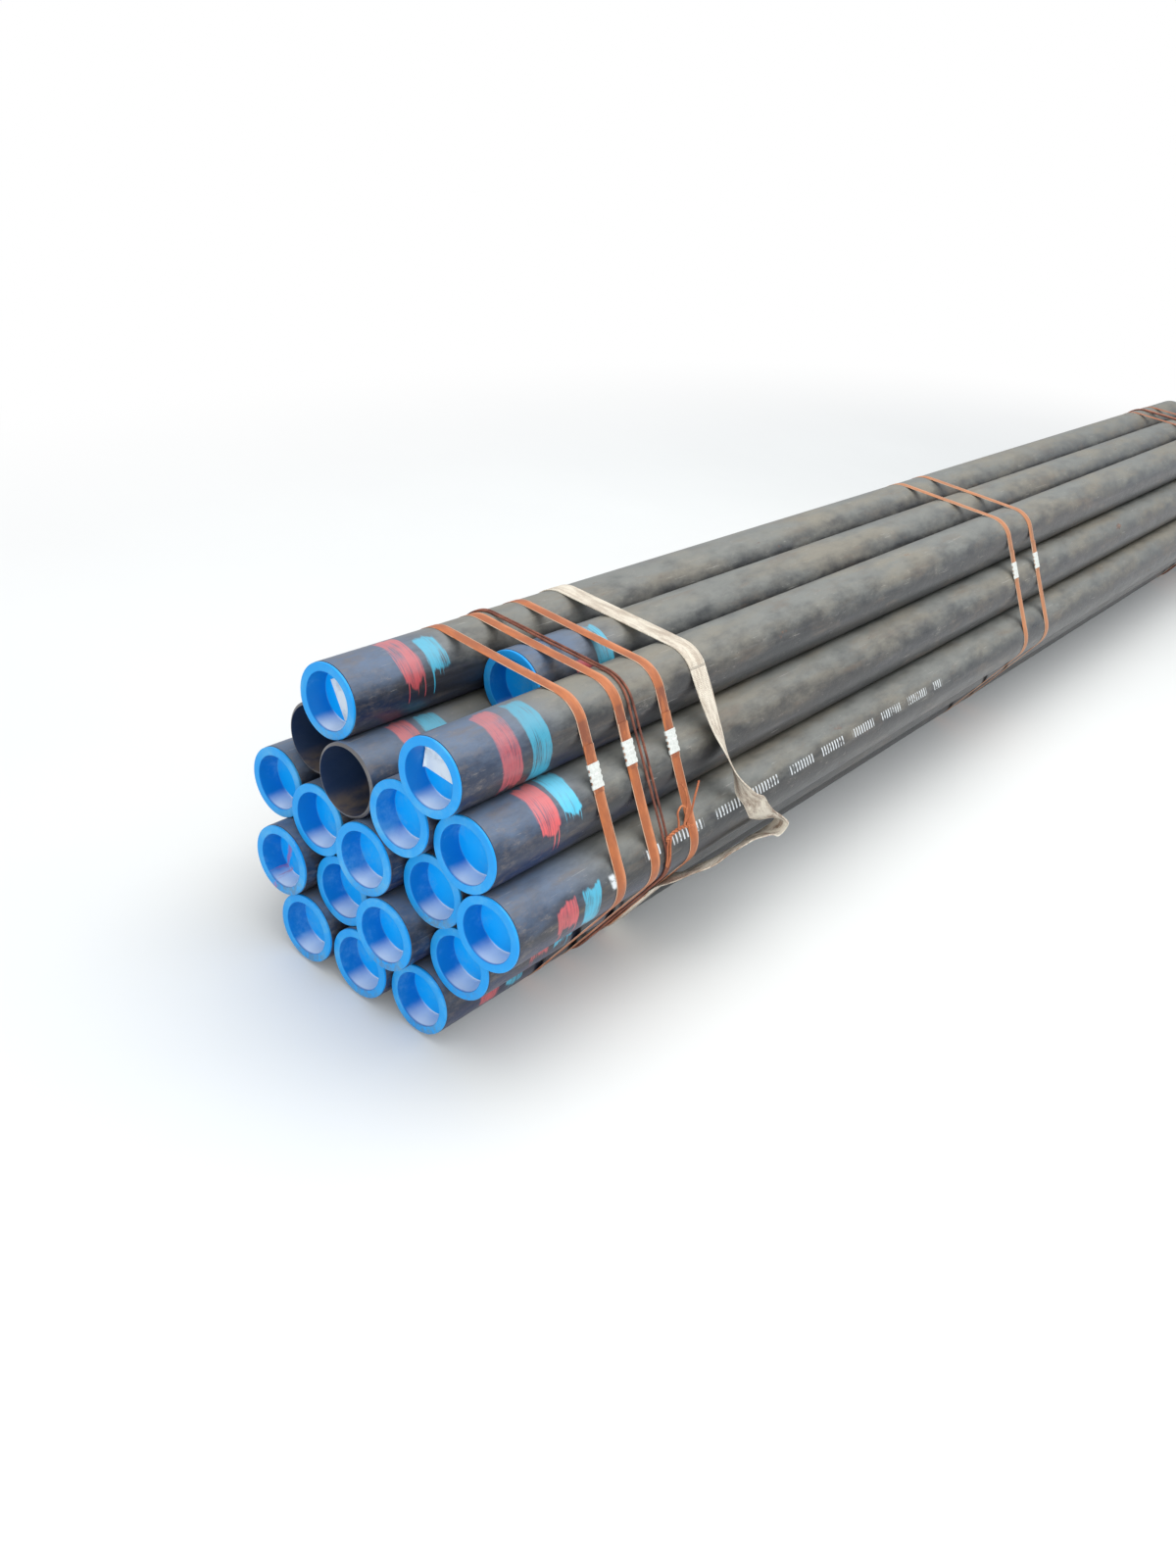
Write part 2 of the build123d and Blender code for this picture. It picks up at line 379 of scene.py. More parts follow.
def cap_plastic():
    """Moulded blue plastic, chalky in patches, with painted shade on the recess's wall, painted light on its
    floor, and a painted pale reflection of the sky low in the recess.
    """
    finish = Finish("cap_plastic")
    depth, across, height = finish.split(finish.stored("cup", "Vector"))
    off_axis = finish.length(finish.join(0.0, across, height))
    seed = finish.stored("seed")
    shift = finish.join(seed, finish.times(seed, 2.3), finish.times(seed, 1.3))
    spot = finish.moved(finish.join(depth, across, height), shift)
    cloud = finish.grain(spot, 11.0, detail=7.0, roughness=0.6)
    fine = finish.grain(spot, 90.0, detail=5.0, roughness=0.7)
    wall = finish.both(
        (off_axis, RECESS_RADIUS - 3.2 * mm, RECESS_RADIUS - 1.2 * mm),
        (off_axis, RECESS_RADIUS + 1.4 * mm, RECESS_RADIUS + 0.4 * mm),
    )
    floor = finish.both(
        (depth, RECESS_DEPTH - 3.0 * mm, RECESS_DEPTH - 1.2 * mm),
        (off_axis, RECESS_RADIUS, RECESS_RADIUS - 2.5 * mm),
    )
    colour = finish.mix(finish.rise(cloud, 0.35, 0.7), (22, 150, 226), (44, 160, 228))
    # The recess's wall is a darker blue as painted shade, and its floor a brighter blue as painted light
    # against the recess's shadow
    colour = finish.mix(wall, colour, finish.mix(cloud, (0, 108, 188), (8, 128, 206)))
    colour = finish.mix(floor, colour, finish.mix(cloud, (0, 164, 246), (10, 176, 250)))
    dust = finish.times(finish.rise(finish.sum(cloud, fine, 0.4), 0.66, 0.98), 0.4)
    colour = finish.mix(dust, colour, (120, 182, 216))
    # A pale patch on the lower part of the wall: a painted reflection of the sky
    down = finish.sum(finish.times(height, -0.94), across, -0.34)
    low = finish.math("DIVIDE", down, off_axis)
    painted_sky_reflection = finish.times(wall, finish.rise(finish.sum(low, cloud, 0.2), 0.6, 1.12))
    painted_sky_reflection = finish.times(painted_sky_reflection, finish.rise(depth, 0.0, 7 * mm))
    colour = finish.mix(painted_sky_reflection, colour, (238, 246, 252), 0.92)
    # Grime round the lower rim, and a smear of red paint where the mesh asks for it
    grime_edge = finish.both((finish.sum(low, cloud, 0.5), 0.75, 1.3), (depth, 5 * mm, 0.0))
    grime = finish.times(finish.times(finish.stored("grime"), grime_edge), finish.rise(fine, 0.35, 0.6))
    colour = finish.mix(grime, colour, (104, 108, 112))
    smear_noise = finish.grain(spot, 3.4, (1.0, 9.0, 3.0), detail=6.0, roughness=0.6)
    smear = finish.times(finish.stored("smear"), finish.rise(smear_noise, 0.58, 0.64))
    colour = finish.mix(smear, colour, (206, 70, 98), 0.7)
    rough = finish.sum(0.34, cloud, 0.2)
    finish.set(Base_Color=colour, Roughness=rough, Specular_IOR_Level=0.3)
    return finish.bump(finish.sum(cloud, fine, 0.3), 0.0006, 0.4).material


def strap_paint():
    """Orange-brown strapping: lacquer over steel, rust along its length, a painted highlight along one side,
    and pale edges that are partly worn and partly painted highlight.
    """
    finish = Finish("strap_paint")
    run, across, rusty = finish.split(finish.stored("lay", "Vector"))
    seed = finish.stored("seed")
    spot = finish.moved(finish.join(run, across, 0.0), finish.join(seed, 0.0, seed))
    stain = finish.grain(spot, 1.0, (11.0, 26.0, 1.0), detail=7.0, roughness=0.62)
    fine = finish.grain(spot, 1.0, (120.0, 240.0, 1.0), detail=6.0, roughness=0.7)
    colour = finish.mix(finish.rise(stain, 0.3, 0.7), (184, 105, 56), (167, 92, 48))
    colour = finish.mix(finish.rise(fine, 0.52, 0.8), colour, (220, 146, 96), 0.35)
    worn = finish.times(rusty, finish.rise(finish.sum(stain, fine, 0.3), 0.5, 0.72))
    colour = finish.mix(worn, colour, (120, 66, 46), 0.85)
    # Painted highlight: a lighter strip along one side of the band
    pale = finish.both((across, 0.004, 0.014), (stain, 0.62, 0.38))
    colour = finish.mix(pale, colour, (226, 158, 118), 0.5)
    colour = finish.mix(finish.stored("faded"), colour, (196, 150, 108))
    # Pale edges: partly worn bare and partly a painted highlight
    edge = finish.both((finish.math("ABSOLUTE", across), 0.0138, 0.0156), (stain, 0.42, 0.56))
    colour = finish.mix(edge, colour, (228, 196, 168), 0.8)
    finish.set(Base_Color=colour, Roughness=finish.sum(0.38, fine, 0.3))
    return finish.bump(finish.sum(stain, fine), 0.0004, 0.6).material


def seal_zinc():
    """Pale galvanised sheet, dulled in patches."""
    finish = Finish("seal_zinc")
    own = finish.place()
    spangle = finish.node("ShaderNodeTexVoronoi", {"Vector": own, "Scale": 190.0}).outputs["Distance"]
    cloud = finish.grain(own, 60.0, detail=6.0, roughness=0.65)
    colour = finish.mix(finish.rise(spangle, 0.1, 0.7), (216, 218, 212), (232, 234, 228))
    colour = finish.mix(finish.rise(cloud, 0.55, 0.8), colour, (168, 160, 148), 0.4)
    finish.set(Base_Color=colour, Roughness=finish.sum(0.32, cloud, 0.3), Metallic=0.35)
    return finish.bump(cloud, 0.0004, 0.6).material


def rusty_wire():
    """Soft iron wire, dark red-brown, brighter orange where it is twisted."""
    finish = Finish("rusty_wire")
    own = finish.place()
    cloud = finish.grain(own, 26.0, detail=7.0, roughness=0.65)
    fine = finish.grain(own, 320.0, detail=4.0)
    fresh = finish.stored("fresh")
    dark = finish.mix(finish.rise(cloud, 0.35, 0.7), (82, 46, 40), (136, 82, 66))
    bright = finish.mix(finish.rise(cloud, 0.35, 0.7), (168, 92, 56), (206, 128, 82))
    colour = finish.mix(fresh, dark, bright)
    colour = finish.mix(finish.rise(fine, 0.5, 0.8), colour, (58, 34, 30), 0.5)
    finish.set(Base_Color=colour, Roughness=0.78)
    return finish.bump(finish.sum(cloud, fine), 0.0005, 0.8).material


def woven_webbing():
    """Cream webbing: ribs across its width, a herringbone of yarns, and yard dirt."""
    finish = Finish("webbing")
    run, across, dirt = finish.split(finish.stored("lay", "Vector"))
    ribs = finish.math("SINE", finish.times(run, tau / 0.0042))
    twill = finish.math("SINE", finish.times(finish.sum(run, across, 2.0), tau / 0.0075))
    yarn = finish.math("SINE", finish.times(across, tau / 0.0026))
    weave = finish.sum(finish.times(finish.sum(ribs, twill), 0.5), yarn, 0.4)
    spot = finish.join(run, across, 0.0)
    cloud = finish.grain(spot, 1.6, (7.0, 26.0, 1.0), detail=7.0, roughness=0.65)
    fine = finish.grain(spot, 1.0, (120.0, 320.0, 1.0), detail=4.0)
    colour = finish.mix(finish.rise(cloud, 0.35, 0.65), (238, 228, 210), (216, 202, 182))
    colour = finish.mix(finish.rise(weave, 0.0, -1.0), colour, (160, 140, 118), 0.3)
    soil = finish.times(dirt, finish.rise(finish.sum(cloud, fine, 0.3), 0.56, 0.82))
    colour = finish.mix(soil, colour, (132, 104, 84))
    finish.set(Base_Color=colour, Roughness=0.9, Sheen_Weight=0.15)
    return finish.bump(finish.sum(weave, fine, 0.8), 0.0009, 0.8).material


def blank_paper():
    """White label stock, a little dusty."""
    finish = Finish("label_paper")
    own = finish.place()
    cloud = finish.grain(own, 34.0, detail=6.0)
    fibre = finish.grain(own, 600.0, detail=3.0)
    colour = finish.mix(finish.rise(cloud, 0.5, 0.8), (232, 238, 238), (192, 200, 204))
    finish.set(Base_Color=colour, Roughness=0.7)
    return finish.bump(fibre, 0.0002, 0.3).material


def pale_floor():
    """Plain pale floor that goes over into the white background away from the bundle."""
    finish = Finish("pale_floor")
    own = finish.place()
    cloud = finish.grain(own, 0.8, detail=5.0)
    finish.set(Base_Color=finish.mix(cloud, (228, 228, 226), (236, 236, 234)), Roughness=0.9)
    far_off = finish.length(finish.scaled(own, (0.19, 0.36, 0.0)))
    path = finish.node("ShaderNodeLightPath").outputs
    seen = finish.math("MAXIMUM", path["Is Camera Ray"], path["Is Glossy Ray"])
    white = finish.node("ShaderNodeEmission", {"Color": (255, 255, 255), "Strength": 1.0}).outputs[0]
    amount = finish.times(finish.rise(far_off, 0.55, 1.5), seen)
    both = finish.node("ShaderNodeMixShader", {0: amount, 1: finish.shader.outputs[0], 2: white})
    finish.tree.links.new(both.outputs[0], finish.tree.nodes["Material Output"].inputs["Surface"])
    return finish.material


def add_object(name, data):
    made = bpy.data.objects.new(name, data)
    bpy.context.collection.objects.link(made)
    return made


def add_piece(name, points, faces, material, nodes=(), at=(0, 0, 0), values=(), sharp=35):
    """Make a mesh piece that rides with the bundle, in place of the CAD nodes that it stands for.

    values is {attribute: one value for the piece, or a list with one for each point}.
    """
    mesh = bpy.data.meshes.new(name)
    mesh.from_pydata(points, [], faces)
    shape = bmesh.new()
    shape.from_mesh(mesh)
    bmesh.ops.recalc_face_normals(shape, faces=shape.faces)
    shape.to_mesh(mesh)
    shape.free()
    for key, value in dict(values).items():
        if not isinstance(value, list):
            value = [value] * len(points)
        if isinstance(value[0], tuple):
            held = mesh.attributes.new(key, "FLOAT_VECTOR", "POINT")
            held.data.foreach_set("vector", [part for item in value for part in item])
        else:
            held = mesh.attributes.new(key, "FLOAT", "POINT")
            held.data.foreach_set("value", value)
    mesh.shade_smooth()
    mesh.set_sharp_from_angle(angle=radians(sharp))
    mesh.materials.append(material)
    made = add_object(name, mesh)
    made.location = at
    bpy.context.view_layer.update()
    if nodes:
        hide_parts(*nodes)
    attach(made, "root")
    return made


# Largest share of an edge that the rounding of one of its corners takes
EDGE_SHARE = 0.45


def rounded(corners, rounding, steps):
    """A closed outline with each of its corners rounded off by a short curve."""
    outline = []
    count = len(corners)
    for index, corner in enumerate(corners):
        before = Vector(corners[index - 1])
        here = Vector(corner)
        after = Vector(corners[(index + 1) % count])
        back = (before - here).normalized()
        ahead = (after - here).normalized()
        half = back.angle(ahead) / 2
        edge = min((before - here).length, (after - here).length)
        reach = min(rounding / tan(half), edge * EDGE_SHARE)
        start = here + back * reach
        end = here + ahead * reach
        for step in range(steps + 1):
            share = step / steps
            one = start.lerp(here, share)
            two = here.lerp(end, share)
            outline.append(tuple(one.lerp(two, share)))
    return outline


def side_faces(rings, size, closed):
    """Faces between rings of size points each: round to the first ring if closed, or with flat ends."""
    faces = []
    for ring in range(rings if closed else rings - 1):
        following = (ring + 1) % rings
        for corner in range(size):
            beside = (corner + 1) % size
            faces.append((
                ring * size + corner,
                ring * size + beside,
                following * size + beside,
                following * size + corner,
            ))
    if not closed:
        faces.append(tuple(range(size)))
        faces.append(tuple((rings - 1) * size + corner for corner in range(size)))
    return faces


def turned(profile, segments):
    """Points and faces of a closed outline of (x, radius) turned round X."""
    points = []
    for x, radius in profile:
        for segment in range(segments):
            turn = tau * segment / segments
            points.append((x, -radius * cos(turn), radius * sin(turn)))
    return points, side_faces(len(profile), segments, True)


PIPE_SEGMENTS = 128
END_STATIONS = (0.012, 0.1)
MIDDLE_STATIONS = 10


def pipe_profile(length, bare):
    """Closed outline of a pipe's wall, with weld bevels where its ends are bare."""
    if bare:
        bevel = (WALL - ROOT_FACE) * tan(BEVEL_ANGLE)
        corners = [
            (0.0, BORE_RADIUS),
            (0.0, BORE_RADIUS + ROOT_FACE),
            (bevel, PIPE_RADIUS),
            (length - bevel, PIPE_RADIUS),
            (length, BORE_RADIUS + ROOT_FACE),
            (length, BORE_RADIUS),
        ]
    else:
        corners = [(0.0, BORE_RADIUS), (0.0, PIPE_RADIUS), (length, PIPE_RADIUS), (length, BORE_RADIUS)]
    outline = rounded(corners, PIPE_EDGE, 3)
    outside = outline[: len(outline) // 2]
    places = list(END_STATIONS)
    places += [length * part / (MIDDLE_STATIONS + 1) for part in range(1, MIDDLE_STATIONS + 1)]
    places += [length - x for x in reversed(END_STATIONS)]
    stations = [(x, PIPE_RADIUS) for x in places]
    inside = [(x, BORE_RADIUS) for x in reversed(places)]
    return outside + stations + outline[len(outside):] + inside


# Red and cyan paint that the photo shows: lowest angle, highest angle, and the middle's distance
# from the near end. Angles are in degrees round the pipe, 0 toward the near side and 90 up.
PAINT = {
    "row_5_1": ((-25, 112, 0.142), (-35, 105, 0.227)),
    "row_4_1": ((20, 106, 0.160), (30, 108, 0.233)),
    "row_3_1": ((-4, 36, 0.148), (-25, 38, 0.228)),
    "row_4_3": ((0, 108, 0.150), (15, 96, 0.222)),
}
# How bright the paint of a pipe still is
VIVID = {"row_5_1": 0.05, "row_4_1": 1.0, "row_3_1": 0.5}
MARKS_ANGLE = {"row_3_1": radians(34)}


def paint_span(low, high, middle):
    return (radians(low), radians(high), middle)


def make_pipes(material):
    dice = random.Random(7)
    for number, (name, (start, length)) in enumerate(PIPE_LINES.items()):
        points, faces = turned(pipe_profile(length, name in OPEN_PIPES), PIPE_SEGMENTS)
        low = dice.uniform(-60, 60)
        shift = dice.uniform(-0.02, 0.02)
        by_chance = (
            (low, low + dice.uniform(40, 110), RED_BAND + shift),
            (low + 8, low + dice.uniform(50, 120), CYAN_BAND + shift),
        )
        red, cyan = PAINT.get(name, by_chance)
        values = {
            "seed": 1.0 + 1.37 * number,
            "red": paint_span(*red),
            "cyan": paint_span(*cyan),
            "vivid": VIVID.get(name, 0.4),
            "marks": MARKS_ANGLE.get(name, 0.0),
        }
        add_piece(f"tube_{name}", points, faces, material, (f"pipe_{name}",), start, values)


CAP_SEGMENTS = 96
SMEARED = ("row_2_4",)


def cap_profile():
    """Closed outline of a cap, its flange at x = 0 and its floor inside the pipe."""
    front = -FLANGE_THICKNESS - CAP_CLEARANCE
    seat = -CAP_CLEARANCE
    floor = front + RECESS_DEPTH
    flange = PIPE_RADIUS - FLANGE_INSET
    plug = BORE_RADIUS - CAP_CLEARANCE
    axle = 0.5 * mm
    corners = [
        (floor, axle),
        (floor, RECESS_RADIUS),
        (front, RECESS_RADIUS),
        (front, flange),
        (seat, flange),
        (seat, plug),
        (floor + CAP_FLOOR, plug),
        (floor + CAP_FLOOR, axle),
    ]
    return rounded(corners, CAP_EDGE, 5)


def make_caps(material):
    """The caps of each end as one piece: the two pieces stand for the frame's one node."""
    profile = cap_profile()
    dice = random.Random(11)
    for end in ("near", "far"):
        meshes = []
        values = {"seed": [], "grime": [], "smear": []}
        for name, (start, length) in PIPE_LINES.items():
            seed = dice.uniform(1, 40)
            row = int(name.split("_")[1])
            grime = max(0.0, dice.uniform(0.0, 0.9) - 0.15 * (row - 1))
            smear = 0.7 if name in SMEARED else 0.0
            if name in OPEN_PIPES:
                continue
            outline = profile
            if end == "far":
                outline = [(length - x, radius) for x, radius in profile]
            around, faces = turned(outline, CAP_SEGMENTS)
            for key, value in (("seed", seed), ("grime", grime), ("smear", smear)):
                values[key] += [value] * len(around)
            cup = []
            for x, y, z in around:
                inward = x if end == "near" else length - x
                cup.append((inward + FLANGE_THICKNESS + CAP_CLEARANCE, y, z))
            meshes.append(([tuple(Vector(point) + start) for point in around], faces, cup))
        points, faces, values["cup"] = merged(*meshes)
        add_piece(f"caps_{end}", points, faces, material, ("end_caps",), values=values)


def wrap_outline(reach, arc_steps, flat_steps):
    """Closed run round the six corner pipes at X = 0: place and direction out of the bundle.

    It starts round pipe row_3_1 and goes up the upper near flat.
    """
    run = []
    for corner in range(6):
        middle = 180 - 60 * corner
        centre = Vector((cos(radians(middle)), sin(radians(middle)))) * CORNER_REACH
        for step in range(arc_steps + 1):
            turn = radians(middle + 30 - 60 * step / arc_steps)
            out = Vector((cos(turn), sin(turn)))
            run.append((centre + out * reach, out))
        # The flat that follows, up to the next corner
        following = radians(middle - 60)
        ahead = Vector((cos(following), sin(following))) * CORNER_REACH
        for step in range(1, flat_steps):
            run.append((centre.lerp(ahead, step / flat_steps) + out * reach, out))
    return [(Vector((0, spot.x, AXIS.z + spot.y)), Vector((0, out.x, out.y))) for spot, out in run]


def run_lengths(places):
    """Distance along a closed run at each of its places, and all the way round."""
    lengths = [0.0]
    for before, here in zip(places, places[1:]):
        lengths.append(lengths[-1] + (here - before).length)
    return lengths, lengths[-1] + (places[0] - places[-1]).length


def waves(drift, turn, first, phase):
    """Sum of waves round the bundle, from the first harmonic given, one for each drift."""
    return sum(part * sin((order + first) * turn + part * phase) for order, part in enumerate(drift))


# The upper near flat: its lean from the vertical, its middle pipe, and the ways out of it and up it
FLAT_LEAN = radians(30)
FLAT_PIPE = PIPE_LINES["row_4_1"][0]
FLAT_OUT = Vector((0, -cos(FLAT_LEAN), sin(FLAT_LEAN)))
FLAT_UP = Vector((0, sin(FLAT_LEAN), cos(FLAT_LEAN)))


def flat_point(x, up_flat, stand_off):
    """Point on the upper near flat: up_flat from its middle pipe, stand_off above the pipes' line."""
    middle = Vector((x, FLAT_PIPE.y, FLAT_PIPE.z))
    return middle + FLAT_OUT * (PIPE_RADIUS + stand_off) + FLAT_UP * up_flat


def flat_height(low, high):
    """How far up the near flat the middle of a box on it lies."""
    above_pipe = (low[2] + high[2]) / 2 - FLAT_PIPE.z
    return (above_pipe - PIPE_RADIUS * sin(FLAT_LEAN)) / cos(FLAT_LEAN)


def band_section(width, thickness, corner):
    """Rounded rectangle, (across, out) from the middle of its inner face."""
    half = width / 2
    corners = [(-half, 0.0), (half, 0.0), (half, thickness), (-half, thickness)]
    return rounded(corners, corner, 2)


def swept(stations, section, closed):
    """Points and faces of a section carried along stations of (place, across, out)."""
    points = []
    for place, across, out in stations:
        points += [tuple(place + across * u + out * v) for u, v in section]
    return points, side_faces(len(stations), len(section), closed)


def merged(*meshes):
    """Several (points, faces, value at each point) as one."""
    points, faces, held = [], [], []
    for more_points, more_faces, more_held in meshes:
        first = len(points)
        points += more_points
        faces += [tuple(first + index for index in face) for face in more_faces]
        held += more_held
    return points, faces, held


# How far the sun has bleached the paint of a strap
FADED = {"middle_1": 0.32, "middle_2": 0.32}
STRAP_WANDER = 0.9 * mm
# Rust above the seal on the near side, on the spare end, and elsewhere
RUST_ABOVE = 1.0
RUST_SPARE = 0.8
RUST_PLAIN = 0.35
# How far the spare end's tip stands off, and the share of its length where it starts to rise
SPARE_LIFT = 1.2 * mm
LIFT_FROM = 0.7
# Moves the spare end's stains away from those of the band under it
STAIN_SHIFT = 5.0


def make_strap(name, material, seed):
    """A band that follows the bundle with a little wander, and its spare end over the seal."""
    low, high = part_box(f"strap_{name}")
    x = (low[0] + high[0]) / 2
    width = high[0] - low[0]
    seal_low, seal_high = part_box(f"seal_{name}")
    dice = random.Random(seed)
    drift = [dice.uniform(-1, 1) for _ in range(6)]
    across = Vector((1, 0, 0))
    outline = wrap_outline(PIPE_RADIUS + STRAP_CLEARANCE, *STRAP_STEPS)
    lengths, total = run_lengths([place for place, out in outline])
    section = band_section(width, STRAP_THICKNESS, STRAP_EDGE)
    stations, lay = [], []
    for length, (place, out) in zip(lengths, outline):
        shift = x + STRAP_WANDER * waves(drift, tau * length / total, 1, 9)
        stations.append((place + Vector((shift, 0, 0)), across, out))
        above = (seal_low[2] + seal_high[2]) / 2 < place.z < AXIS.z + CORNER_REACH
        rusty = RUST_ABOVE if above and place.y < 0 else RUST_PLAIN
        lay += [(length, u, rusty) for u, v in section]
    points, faces = swept(stations, section, True)
    # Spare end on top of the band
    seal_up = flat_height(seal_low, seal_high)
    end_stations, end_lay = [], []
    steps = 16
    for step in range(steps + 1):
        share = step / steps
        run = share * (SEAL_LENGTH + SPARE_BELOW + SPARE_ABOVE)
        up = seal_up - SEAL_LENGTH / 2 - SPARE_BELOW + run
        lift = SPARE_LIFT * (max(0.0, share - LIFT_FROM) / (1 - LIFT_FROM)) ** 2
        place = flat_point(x, up, STRAP_CLEARANCE + STRAP_THICKNESS + lift)
        end_stations.append((place, across, FLAT_OUT))
        end_lay += [(up + STAIN_SHIFT, u, RUST_SPARE) for u, v in section]
    end_points, end_faces = swept(end_stations, section, False)
    points, faces, lay = merged((points, faces, lay), (end_points, end_faces, end_lay))
    values = {"lay": lay, "seed": float(seed), "faded": FADED.get(name, 0.0)}
    add_piece(f"band_{name}", points, faces, material, (f"strap_{name}",), values=values)


# Notches along a seal's edges: where they are, half their length, their slope and their depth
NOTCHES = (-13.5 * mm, 0.0, 13.5 * mm)
NOTCH_HALF = 3.8 * mm
NOTCH_SLOPE = 0.8 * mm
NOTCH_DEPTH = 3.4 * mm
SEAL_RIPPLE = 0.25 * mm


def make_seal(name, material):
    """A folded sleeve of sheet, crimped: its edges are notched and pressed in pairs."""
    low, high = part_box(f"seal_{name}")
    x = (low[0] + high[0]) / 2
    width = high[0] - low[0]
    up_middle = flat_height(low, high)
    inner = STRAP_CLEARANCE - SEAL_CLEARANCE - SEAL_SHEET
    thickness = 2 * (STRAP_THICKNESS + SEAL_CLEARANCE + SEAL_SHEET)
    steps = 54
    points = []
    for step in range(steps + 1):
        along = (step / steps - 0.5) * SEAL_LENGTH
        gap = min(abs(along - middle) for middle in NOTCHES)
        notch = min(1.0, max(0.0, (NOTCH_HALF - gap) / NOTCH_SLOPE))
        half = width / 2 - notch * NOTCH_DEPTH
        section = band_section(2 * half, thickness * (1 + 0.25 * notch), SEAL_EDGE)
        for u, v in section:
            ripple = SEAL_RIPPLE * sin(along / mm * 1.3) * (1 - abs(u) / half)
            points.append(tuple(flat_point(x + u, up_middle + along, inner + v + ripple)))
    faces = side_faces(steps + 1, len(section), False)
    add_piece(f"clip_{name}", points, faces, material, (f"seal_{name}",))


def tube_stations(places, closed):
    """Stations for a round section along places, each turned as little as possible."""
    count = len(places)
    stations = []
    side = Vector((1, 0, 0))
    for index, place in enumerate(places):
        if closed:
            heading = places[(index + 1) % count] - places[index - 1]
        else:
            heading = places[min(index + 1, count - 1)] - places[max(index - 1, 0)]
        heading.normalize()
        side = (side - heading * side.dot(heading)).normalized()
        stations.append((place, side, heading.cross(side)))
    return stations


def spline(before, start, end, after, share):
    """Curve from start to end that passes smoothly through its neighbours."""
    return (
        2 * start
        + (end - before) * share
        + (2 * before - 5 * start + 4 * end - after) * share ** 2
        + (3 * start - before - 3 * end + after) * share ** 3
    ) * 0.5


def smooth_run(corners, steps):
    """Curve through given corners."""
    padded = [corners[0] * 2 - corners[1], *corners, corners[-1] * 2 - corners[-2]]
    fours = zip(padded, padded[1:], padded[2:], padded[3:])
    run = [spline(*four, step / steps) for four in fours for step in range(steps)]
    return run + [corners[-1]]


# The wire's knot on the near flat, in millimetres: along the pipes, up the flat and out.
# Both ends are twisted together, one is bent back as an eye, and the tails stand up.
KNOT_TWIST = ((-6, -151, 9), (12, -146, 9), (34, -142, 10), (56, -142, 10.5), (76, -146, 11), (94, -152, 11))
KNOT_STRANDS = (
    ((38, -142, 13), (44, -124, 14), (46, -106, 15), (62, -95, 16),
     (78, -104, 15), (74, -124, 14), (60, -140, 13)),
    ((60, -140, 13), (70, -122, 15), (84, -92, 18), (86, -66, 19), (80, -48, 17)),
    ((70, -142, 14), (88, -122, 17), (108, -92, 21), (126, -72, 22), (140, -60, 20)),
    ((4, -148, 9), (-6, -165, 8), (-8, -187, 3), (-10, -211, -6.5)),
    ((12, -146, 10), (3, -165, 9), (0, -188, 4), (-5, -215, -8)),
)
KNOT_WIRE_RADIUS = 2.4 * mm
KNOT_TURN = 0.42
WIRE_LEAN = 14.0 * mm
WIRE_SPREAD = 1.5 * mm
WIRE_WANDER = 1.1 * mm
# Visible radius against the frame's, so that ten flats lie about on the true radius
WIRE_SWELL = 1.06
# How fresh the rust of the turns, the twist and the loose strands is
TURN_FRESH = 0.12
TWIST_FRESH = 1.0
STRAND_FRESH = 0.9


def knot_places(x, toward_middle, corners):
    """Smooth run of a piece of the knot, from its given corners on the near flat."""
    return smooth_run([
        flat_point(x + toward_middle * along * mm, up * mm, out * mm) for along, up, out in corners
    ], 14)


def wire(places, radius, sides, closed, fresh):
    """Points and faces of a round wire along places, and how fresh its rust is at each point."""
    turns = [tau * side / sides for side in range(sides)]
    section = [(radius * cos(turn), radius * sin(turn)) for turn in turns]
    points, faces = swept(tube_stations(places, closed), section, closed)
    return points, faces, [fresh] * len(points)


def make_tie_wire(name, material, toward_middle, seed):
    """Two turns of wire round the bundle, their ends knotted on the near flat."""
    length = PIPE_LINES["row_1_3"][1]
    x = NEAR_PLANE + (WIRE_STATION if toward_middle > 0 else length - WIRE_STATION)
    reach = PIPE_RADIUS + WIRE_CLEARANCE + WIRE_DIAMETER / 2
    dice = random.Random(seed)
    meshes = []
    for turn in (-1, 1):
        drift = [dice.uniform(-1, 1) for _ in range(7)]
        places = []
        outline = wrap_outline(reach, *WIRE_STEPS)
        for index, (place, _) in enumerate(outline):
            share = tau * index / len(outline)
            apart = WIRE_TURN_SPACING / 2 + WIRE_SPREAD * (1 + sin(3 * share + seed))
            # Away from the knot the turns lie a little nearer the end
            lean = toward_middle * WIRE_LEAN * sin(share / 2)
            shift = x + turn * apart + WIRE_WANDER * waves(drift, share, 2, 7) - lean
            places.append(place + Vector((shift, 0, 0)))
        meshes.append(wire(places, WIRE_DIAMETER / 2 * WIRE_SWELL, 10, True, TURN_FRESH))
    frames = tube_stations(knot_places(x, toward_middle, KNOT_TWIST), False)
    for strand in (0, pi):
        places = []
        for index, (place, side, out) in enumerate(frames):
            turn = strand + index * KNOT_TURN
            places.append(place + (side * cos(turn) + out * sin(turn)) * KNOT_WIRE_RADIUS)
        meshes.append(wire(places, KNOT_WIRE_RADIUS, 8, False, TWIST_FRESH))
    for corners in KNOT_STRANDS:
        places = knot_places(x, toward_middle, corners)
        meshes.append(wire(places, KNOT_WIRE_RADIUS, 8, False, STRAND_FRESH))
    points, faces, fresh = merged(*meshes)
    add_piece(
        f"wire_{name}", points, faces, material, (f"tie_wire_{name}",), values={"fresh": fresh}
    )


# How far from the near end the sling lies at each share of its way round the bundle,
# from the near side's top pipe over the top to the lower near side
SLING_DRIFT = ((0.0, 0.765), (0.4, 0.765), (0.75, 0.74), (1.0, 0.64))
